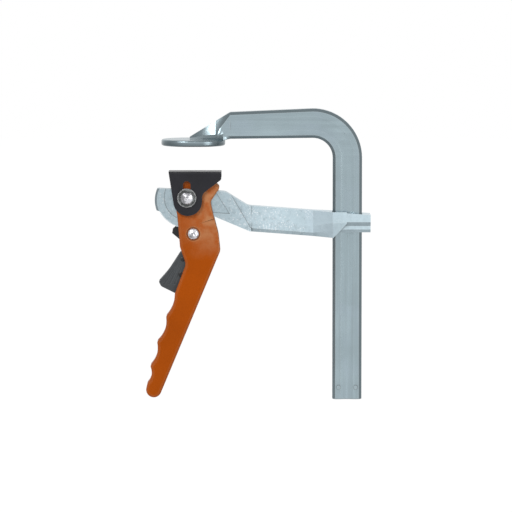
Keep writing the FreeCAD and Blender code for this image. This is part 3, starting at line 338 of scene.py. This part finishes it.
def black(name, base, rough, scale, specular):
    """Blackened or moulded dark surface with fine texture of a scale, and a painted highlight along edges.
    """
    m = Shader(name)
    cloud = m.noise(40, 4, 0.6)
    fine = m.noise(scale, 3, 0.6)
    edge_highlight = tuple(part * 3 + 0.02 for part in base)
    colour = m.mix(m.ramp(cloud, 0.35, 0.65), base, shade(base, 1.5))
    # Painted highlight along the edges
    colour = m.mix(m.times(m.edge(0.0007), 0.35), colour, edge_highlight)
    roughness = m.ramp(fine, 0.3, 0.7, rough - 0.06, rough + 0.1)
    m.set(base_color=colour, roughness=roughness, specular_ior_level=specular)
    m.bump((cloud, 0.15, 0.0005), (fine, 0.3, 0.00012))
    return m.material


def turned(name, base, rough, centre, pitch):
    """Turned steel with ring marks round centre, stains, painted shade in hollows and a painted highlight
    along edges.
    """
    m = Shader(name)
    fine = m.noise(700, 3, 0.6)
    cloud = m.noise(170, 4, 0.6)
    colour = m.mix(m.ramp(cloud, 0.44, 0.56), base, shade(base, 0.36))
    # Painted shade in the hollows
    colour = m.mix(m.times(m.hollow_shade(0.003), 0.8), colour, shade(base, 0.15))
    # Painted highlight along the edges
    colour = m.mix(m.times(m.edge(0.0004), 0.6), colour, STEEL_EDGE_HIGHLIGHT)
    m.set(base_color=colour, metallic=1.0, roughness=m.ramp(fine, 0.3, 0.7, rough - 0.04, rough + 0.08))
    m.bump((cloud, 0.3, 0.0003), (m.rings(centre, pitch), 0.35, 0.00010), (fine, 0.2, 0.00005))
    return m.material


def dress_nodes():
    """Give every CAD node the material of its slot in the record."""
    pin, rivet = middle("pivot_pin"), middle("pawl_rivet")
    materials = {
        "zinc_rail": zinc("zinc_rail", BAR_ZINC, rough=0.26, cast=False),
        "zinc_cast": zinc("zinc_cast", CAST_ZINC, rough=0.32, cast=True),
        "orange_paint": paint("orange_paint", ORANGE, HIGHLIGHT_ORANGE, rough=0.42),
        "black_shoe": black("black_shoe", SHOE_BLACK, rough=0.36, scale=380, specular=0.22),
        "pin_steel": turned("pin_steel", PIN_STEEL, rough=0.22, centre=pin, pitch=0.0011),
        "washer_steel": turned("washer_steel", WASHER_STEEL, rough=0.26, centre=pin, pitch=0.0016),
        "spring_steel": turned("spring_steel", SPRING_STEEL, rough=0.28, centre=rivet, pitch=0.001),
        "black_pawl": black("black_pawl", PAWL_BLACK, rough=0.42, scale=420, specular=0.3),
        "trigger_plastic": black("trigger_plastic", TRIGGER_GREY, rough=0.48, scale=600, specular=0.3),
    }
    for part in frame["record"]["subparts"]:
        for place in nodes[part["node"]].material_slots:
            place.material = materials[part["material_slot"]]


# Floor, light and camera
def seen_white(tree):
    """1 for what the camera, gloss and glass see, and 0 for what lights other surfaces."""
    path = tree.nodes.new("ShaderNodeLightPath")
    shown = path.outputs["Is Camera Ray"]
    for kind in ("Is Glossy Ray", "Is Transmission Ray"):
        either = tree.nodes.new("ShaderNodeMath")
        either.operation = "MAXIMUM"
        tree.links.new(shown, either.inputs[0])
        tree.links.new(path.outputs[kind], either.inputs[1])
        shown = either.outputs["Value"]
    return shown


def plain_floor():
    low, high = -FLOOR_REACH, FLOOR_REACH
    corners = [(x, y, FLOOR_HEIGHT) for x, y in ((low, low), (high, low), (high, high), (low, high))]
    mesh = bpy.data.meshes.new("floor")
    mesh.from_pydata(corners, [], [(0, 1, 2, 3)])
    floor = bpy.data.objects.new("floor", mesh)
    scene.collection.objects.link(floor)
    material = bpy.data.materials.new("floor_white")
    material.use_nodes = True
    tree = material.node_tree
    tree.nodes.clear()
    grey = tree.nodes.new("ShaderNodeBsdfDiffuse")
    grey.inputs["Color"].default_value = FLOOR_GREY
    glow = tree.nodes.new("ShaderNodeEmission")
    glow.inputs["Color"].default_value = WHITE
    glow.inputs["Strength"].default_value = FLOOR_GLOW
    share = tree.nodes.new("ShaderNodeMath")
    share.operation = "MULTIPLY"
    share.inputs[1].default_value = FLOOR_GLOW_SHARE
    both = tree.nodes.new("ShaderNodeMixShader")
    output = tree.nodes.new("ShaderNodeOutputMaterial")
    tree.links.new(seen_white(tree), share.inputs[0])
    tree.links.new(share.outputs["Value"], both.inputs["Fac"])
    tree.links.new(grey.outputs["BSDF"], both.inputs[1])
    tree.links.new(glow.outputs["Emission"], both.inputs[2])
    tree.links.new(both.outputs["Shader"], output.inputs["Surface"])
    mesh.materials.append(material)


def white_world():
    """Even light all round. The camera, gloss and glass see plain white."""
    world = bpy.data.worlds.new("white")
    scene.world = world
    world.use_nodes = True
    tree = world.node_tree
    tree.nodes.clear()
    strength = tree.nodes.new("ShaderNodeMix")
    strength.inputs[2].default_value = WORLD_LIGHT
    strength.inputs[3].default_value = 1.0
    background = tree.nodes.new("ShaderNodeBackground")
    background.inputs["Color"].default_value = WHITE
    output = tree.nodes.new("ShaderNodeOutputWorld")
    tree.links.new(seen_white(tree), strength.inputs[0])
    tree.links.new(strength.outputs[0], background.inputs["Strength"])
    tree.links.new(background.outputs["Background"], output.inputs["Surface"])


def soft_lamp(name, place, target, size, watts):
    lamp = bpy.data.lights.new(name, "AREA")
    lamp.shape = "RECTANGLE"
    lamp.size, lamp.size_y = size
    lamp.energy = watts
    item = bpy.data.objects.new(name, lamp)
    item.location = place
    item.rotation_euler = (Vector(target) - Vector(place)).to_track_quat("-Z", "Y").to_euler()
    scene.collection.objects.link(item)


def set_camera():
    """A long lens at the photograph's angle, which shows as much as the photograph."""
    camera = bpy.data.cameras.new("camera")
    camera.sensor_width = 36.0
    camera.lens = camera.sensor_width * VIEW_DISTANCE / (VIEW_PIXELS * PIXEL_SIZE)
    camera.clip_end = 50.0
    item = bpy.data.objects.new("camera", camera)
    x, y, z = VIEW_CENTRE
    angle = math.radians(VIEW_ELEVATION_DEGREES)
    item.location = (x, y - VIEW_DISTANCE * math.cos(angle), z + VIEW_DISTANCE * math.sin(angle))
    item.rotation_euler = (math.pi / 2 - angle, 0, 0)
    scene.collection.objects.link(item)
    scene.camera = item


dress_nodes()
plain_floor()
white_world()
soft_lamp("key", place=(-0.9, -1.5, 1.1), target=(0.03, 0, -0.08), size=(0.9, 0.9), watts=26)
soft_lamp("fill", place=(1.4, -1.3, 0.2), target=(0.05, 0, -0.08), size=(0.7, 1.2), watts=10)
set_camera()
scene.view_settings.view_transform = "Standard"
